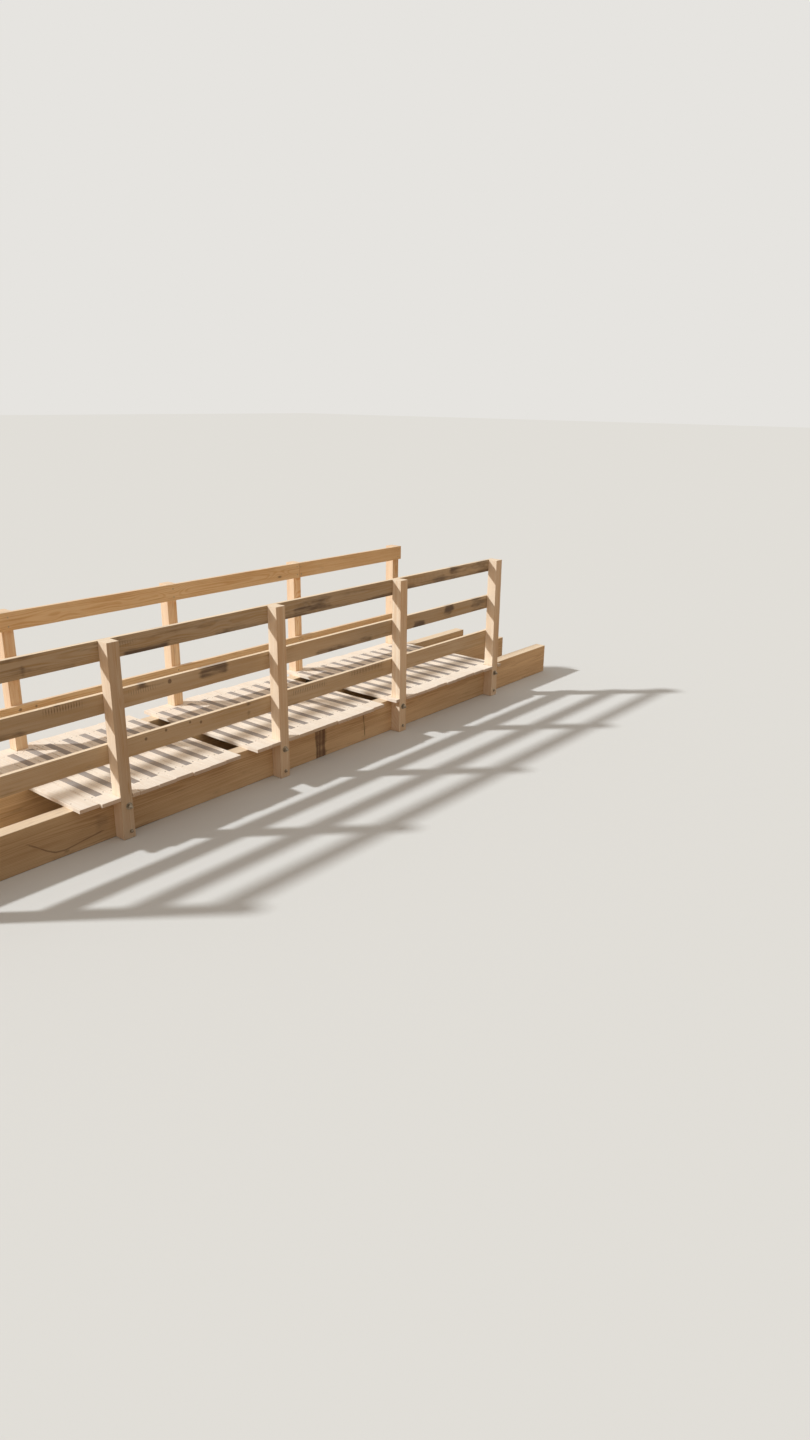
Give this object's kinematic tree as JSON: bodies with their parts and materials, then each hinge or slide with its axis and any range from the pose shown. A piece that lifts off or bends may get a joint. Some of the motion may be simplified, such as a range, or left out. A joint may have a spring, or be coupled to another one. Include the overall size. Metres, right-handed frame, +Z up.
{
  "type": "wooden footbridge",
  "caption": "Timber footbridge, not quite finished, with sawn beams, cross planks with grip strips, bolted square posts and board rails on both sides.",
  "frame": {"origin": "centre of the bounding box in plan, at the undersides of the beams", "axes": "+X along the bridge to the picture's right end, -Y the near side, +Z up"},
  "size_m": [8.31, 1.528, 1.418],
  "materials": {
    "beam_timber": "fresh sawn oak, mill stained",
    "post_timber": "fresh sawn oak",
    "rail_timber": "fresh sawn oak boards",
    "deck_timber": "fresh sawn oak planks",
    "grip_strip": "gritty resin-bound strip",
    "zinc_steel": "dull zinc plating"
  },
  "bodies": {
    "root": {"deck_planks_1": "deck_timber", "deck_planks_2": "deck_timber", "deck_planks_3": "deck_timber", "deck_planks_4": "deck_timber", "deck_planks_5": "deck_timber", "deck_planks_6": "deck_timber", "far_beam": "beam_timber", "far_bottom_rail_long": "rail_timber", "far_bottom_rail_short": "rail_timber", "far_middle_rail_long": "rail_timber", "far_middle_rail_short": "rail_timber", "far_post_1": "post_timber", "far_post_2": "post_timber", "far_post_3": "post_timber", "far_post_4": "post_timber", "far_post_5": "post_timber", "far_rods": "zinc_steel", "far_top_rail_long": "rail_timber", "far_top_rail_short": "rail_timber", "grip_strips": "grip_strip", "middle_beam": "beam_timber", "near_beam": "beam_timber", "near_bottom_rail_long": "rail_timber", "near_bottom_rail_short": "rail_timber", "near_middle_rail_long": "rail_timber", "near_middle_rail_short": "rail_timber", "near_post_1": "post_timber", "near_post_2": "post_timber", "near_post_3": "post_timber", "near_post_4": "post_timber", "near_post_5": "post_timber", "near_rods": "zinc_steel", "near_top_rail_long": "rail_timber", "near_top_rail_short": "rail_timber"}
  },
  "joints": []
}
